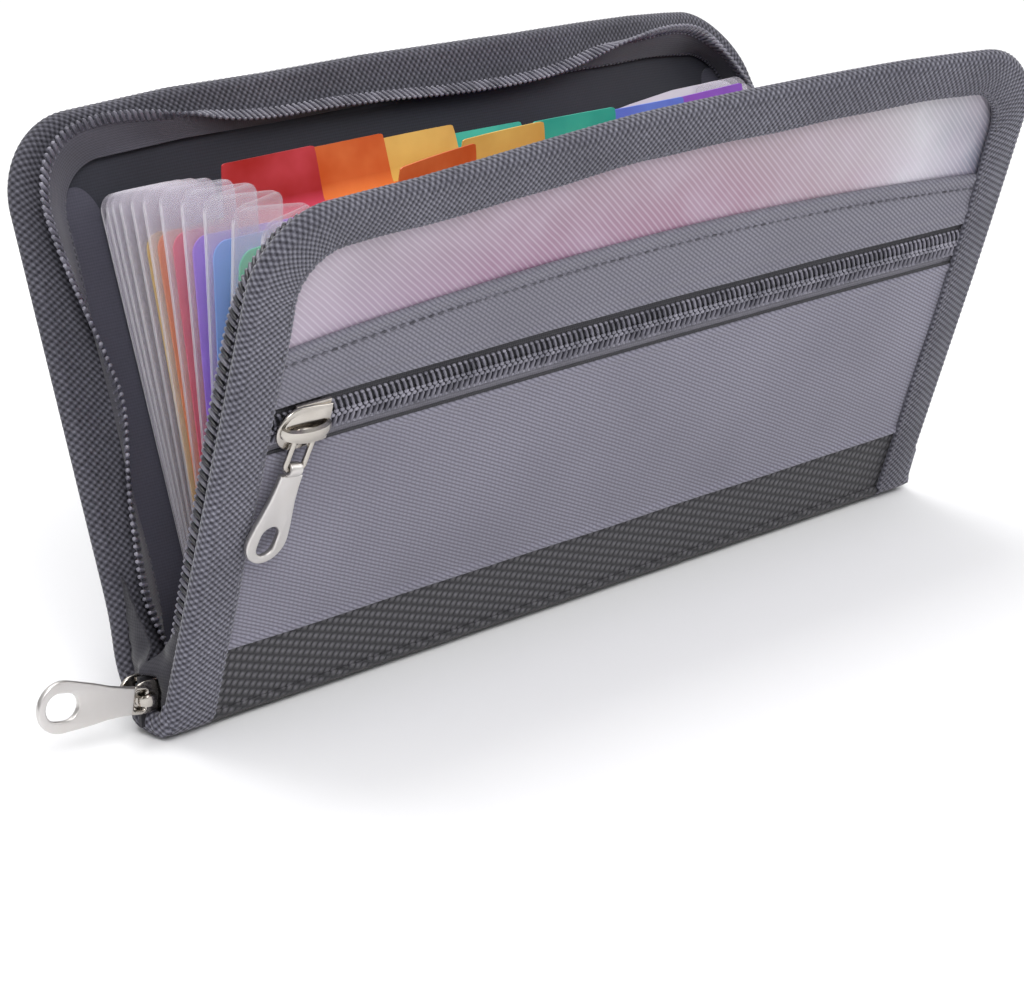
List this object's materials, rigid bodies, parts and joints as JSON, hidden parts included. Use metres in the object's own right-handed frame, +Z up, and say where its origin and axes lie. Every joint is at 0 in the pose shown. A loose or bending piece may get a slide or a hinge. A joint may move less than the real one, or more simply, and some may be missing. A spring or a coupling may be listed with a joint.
{
  "type": "organizer wallet",
  "caption": "Zip-around organizer wallet standing open, with an accordion of coloured index dividers, a zipped front pocket and a film window.",
  "frame": {"origin": "middle of the spine's underside, on the surface the wallet stands on", "axes": "+X along the width, -Y towards the front cover with the window and pocket, +Z up"},
  "size_m": [0.2125, 0.0786, 0.1027],
  "materials": {
    "binding": "coarse ribbed edge tape",
    "twill": "diagonal twill",
    "base_fabric": "dark dobby weave",
    "lining": "smooth dark lining",
    "stiffener": "thin stiffener board",
    "zip_tape": "woven zip tape",
    "zip_coil": "spiral zip coil",
    "nickel": "bright nickel plate",
    "clear_film": "frosted clear film",
    "window_film": "frosted film with fine diagonal lines",
    "index_purple": "frosted coloured film",
    "index_blue": "frosted coloured film",
    "index_green": "frosted coloured film",
    "index_yellow": "frosted coloured film",
    "index_orange": "frosted coloured film",
    "index_red": "frosted coloured film"
  },
  "bodies": {
    "spine": {"spine_wrap": "base_fabric", "spine_board": "stiffener", "spine_binding": "binding", "zip_tail_left": "zip_tape", "zip_tail_right": "zip_tape", "zip_end_stop": "nickel"},
    "front_cover": {"front_board": "window_film", "front_base_strip": "base_fabric", "front_lower_panel": "twill", "front_upper_band": "twill", "front_binding": "binding", "pocket_zip_tapes": "zip_tape", "pocket_zip_coil": "zip_coil", "front_zip_tape": "zip_tape", "front_zip_coil": "zip_coil", "gusset_13": "clear_film"},
    "rear_cover": {"rear_board": "stiffener", "rear_outer_panel": "twill", "rear_base_strip": "base_fabric", "rear_lining": "lining", "rear_slip_pocket": "lining", "rear_binding": "binding", "rear_zip_tape": "zip_tape", "rear_zip_coil": "zip_coil"},
    "back_board": {"back_board": "clear_film"},
    "divider_01": {"divider_01": "index_purple", "gusset_01": "clear_film"},
    "divider_02": {"divider_02": "index_blue", "gusset_02": "clear_film"},
    "divider_03": {"divider_03": "index_green", "gusset_03": "clear_film"},
    "divider_04": {"divider_04": "index_yellow", "gusset_04": "clear_film"},
    "divider_05": {"divider_05": "index_orange", "gusset_05": "clear_film"},
    "divider_06": {"divider_06": "index_red", "gusset_06": "clear_film"},
    "divider_07": {"divider_07": "index_purple", "gusset_07": "clear_film"},
    "divider_08": {"divider_08": "index_blue", "gusset_08": "clear_film"},
    "divider_09": {"divider_09": "index_green", "gusset_09": "clear_film"},
    "divider_10": {"divider_10": "index_yellow", "gusset_10": "clear_film"},
    "divider_11": {"divider_11": "index_orange", "gusset_11": "clear_film"},
    "divider_12": {"divider_12": "index_red", "gusset_12": "clear_film"},
    "pocket_slider": {"pocket_slider": "nickel"},
    "pocket_pull_link": {"pocket_pull_link": "nickel"},
    "pocket_pull_tab": {"pocket_pull_tab": "nickel"},
    "main_slider": {"main_slider": "nickel"},
    "main_pull_tab": {"main_pull_tab": "nickel"}
  },
  "joints": [
    {"name": "cover_open", "type": "hinge", "parent": "spine", "child": "front_cover", "pos_m": [0, 0, 0.003], "axis": [1, 0, 0], "range_deg": [-16.5, 13]},
    {"name": "rear_cover_open", "type": "hinge", "parent": "spine", "child": "rear_cover", "pos_m": [0, 0, 0.003], "axis": [-1, 0, 0], "range_deg": [-16.6, 13.1]},
    {"name": "fan_12", "type": "hinge", "parent": "front_cover", "child": "divider_12", "pos_m": [0, 0, 0.003], "axis": [-1, 0, 0], "range_deg": [-2.65, 2.1], "deforming": ["gusset_13"]},
    {"name": "fan_11", "type": "hinge", "parent": "divider_12", "child": "divider_11", "pos_m": [0, 0, 0.003], "axis": [-1, 0, 0], "range_deg": [-2.65, 2.1], "deforming": ["gusset_12"]},
    {"name": "fan_10", "type": "hinge", "parent": "divider_11", "child": "divider_10", "pos_m": [0, 0, 0.003], "axis": [-1, 0, 0], "range_deg": [-3, 2.38], "deforming": ["gusset_11"]},
    {"name": "fan_09", "type": "hinge", "parent": "divider_10", "child": "divider_09", "pos_m": [0, 0, 0.003], "axis": [-1, 0, 0], "range_deg": [-4.39, 3.47], "deforming": ["gusset_10"]},
    {"name": "fan_08", "type": "hinge", "parent": "divider_09", "child": "divider_08", "pos_m": [0, 0, 0.003], "axis": [-1, 0, 0], "range_deg": [-4.3, 3.4], "deforming": ["gusset_09"]},
    {"name": "fan_07", "type": "hinge", "parent": "divider_08", "child": "divider_07", "pos_m": [0, 0, 0.003], "axis": [-1, 0, 0], "range_deg": [-3.44, 2.72], "deforming": ["gusset_08"]},
    {"name": "fan_06", "type": "hinge", "parent": "divider_07", "child": "divider_06", "pos_m": [0, 0, 0.003], "axis": [-1, 0, 0], "range_deg": [-3.35, 2.65], "deforming": ["gusset_07"]},
    {"name": "fan_05", "type": "hinge", "parent": "divider_06", "child": "divider_05", "pos_m": [0, 0, 0.003], "axis": [-1, 0, 0], "range_deg": [-2.65, 2.1], "deforming": ["gusset_06"]},
    {"name": "fan_04", "type": "hinge", "parent": "divider_05", "child": "divider_04", "pos_m": [0, 0, 0.003], "axis": [-1, 0, 0], "range_deg": [-1.87, 1.49], "deforming": ["gusset_05"]},
    {"name": "fan_03", "type": "hinge", "parent": "divider_04", "child": "divider_03", "pos_m": [0, 0, 0.003], "axis": [-1, 0, 0], "range_deg": [-1.87, 1.49], "deforming": ["gusset_04"]},
    {"name": "fan_02", "type": "hinge", "parent": "divider_03", "child": "divider_02", "pos_m": [0, 0, 0.003], "axis": [-1, 0, 0], "range_deg": [-1.27, 1.01], "deforming": ["gusset_03"]},
    {"name": "fan_01", "type": "hinge", "parent": "divider_02", "child": "divider_01", "pos_m": [0, 0, 0.003], "axis": [-1, 0, 0], "range_deg": [-0.83, 0.67], "deforming": ["gusset_02"]},
    {"name": "fan_back", "type": "hinge", "parent": "divider_01", "child": "back_board", "pos_m": [0, 0, 0.003], "axis": [-1, 0, 0], "range_deg": [-0.92, 0.73], "deforming": ["gusset_01"]},
    {"name": "pocket_zip_slide", "type": "slide", "parent": "front_cover", "child": "pocket_slider", "axis": [1, 0, 0], "range_m": [0, 0.15]},
    {"name": "pocket_pull_swing", "type": "hinge", "parent": "pocket_slider", "child": "pocket_pull_link", "pos_m": [-0.07935, -0.02658, 0.05762], "axis": [0, -0.9455, -0.3256], "range_deg": [-31, 53]},
    {"name": "pocket_pull_lift", "type": "hinge", "parent": "pocket_pull_link", "child": "pocket_pull_tab", "pos_m": [-0.08078, -0.02418, 0.05066], "axis": [-0.9816, -0.0621, 0.1804], "range_deg": [0, 100]},
    {"name": "main_zip_slide", "type": "slide", "parent": "spine", "child": "main_slider", "axis": [-1, 0, 0], "range_m": [0, 0.004]},
    {"name": "main_pull_swing", "type": "hinge", "parent": "main_slider", "child": "main_pull_tab", "pos_m": [-0.0974, -0.00285, 0.0078], "axis": [0, 0, 1], "range_deg": [0, 80]}
  ],
  "couplings": [
    {"joint": "rear_cover_open", "follows": "cover_open", "ratio": 1},
    {"joint": "fan_12", "follows": "cover_open", "ratio": 0.15789},
    {"joint": "fan_11", "follows": "cover_open", "ratio": 0.15789},
    {"joint": "fan_10", "follows": "cover_open", "ratio": 0.17895},
    {"joint": "fan_09", "follows": "cover_open", "ratio": 0.26316},
    {"joint": "fan_08", "follows": "cover_open", "ratio": 0.25789},
    {"joint": "fan_07", "follows": "cover_open", "ratio": 0.20526},
    {"joint": "fan_06", "follows": "cover_open", "ratio": 0.2},
    {"joint": "fan_05", "follows": "cover_open", "ratio": 0.15789},
    {"joint": "fan_04", "follows": "cover_open", "ratio": 0.11053},
    {"joint": "fan_03", "follows": "cover_open", "ratio": 0.11053},
    {"joint": "fan_02", "follows": "cover_open", "ratio": 0.07368},
    {"joint": "fan_01", "follows": "cover_open", "ratio": 0.04737},
    {"joint": "fan_back", "follows": "cover_open", "ratio": 0.05263}
  ]
}
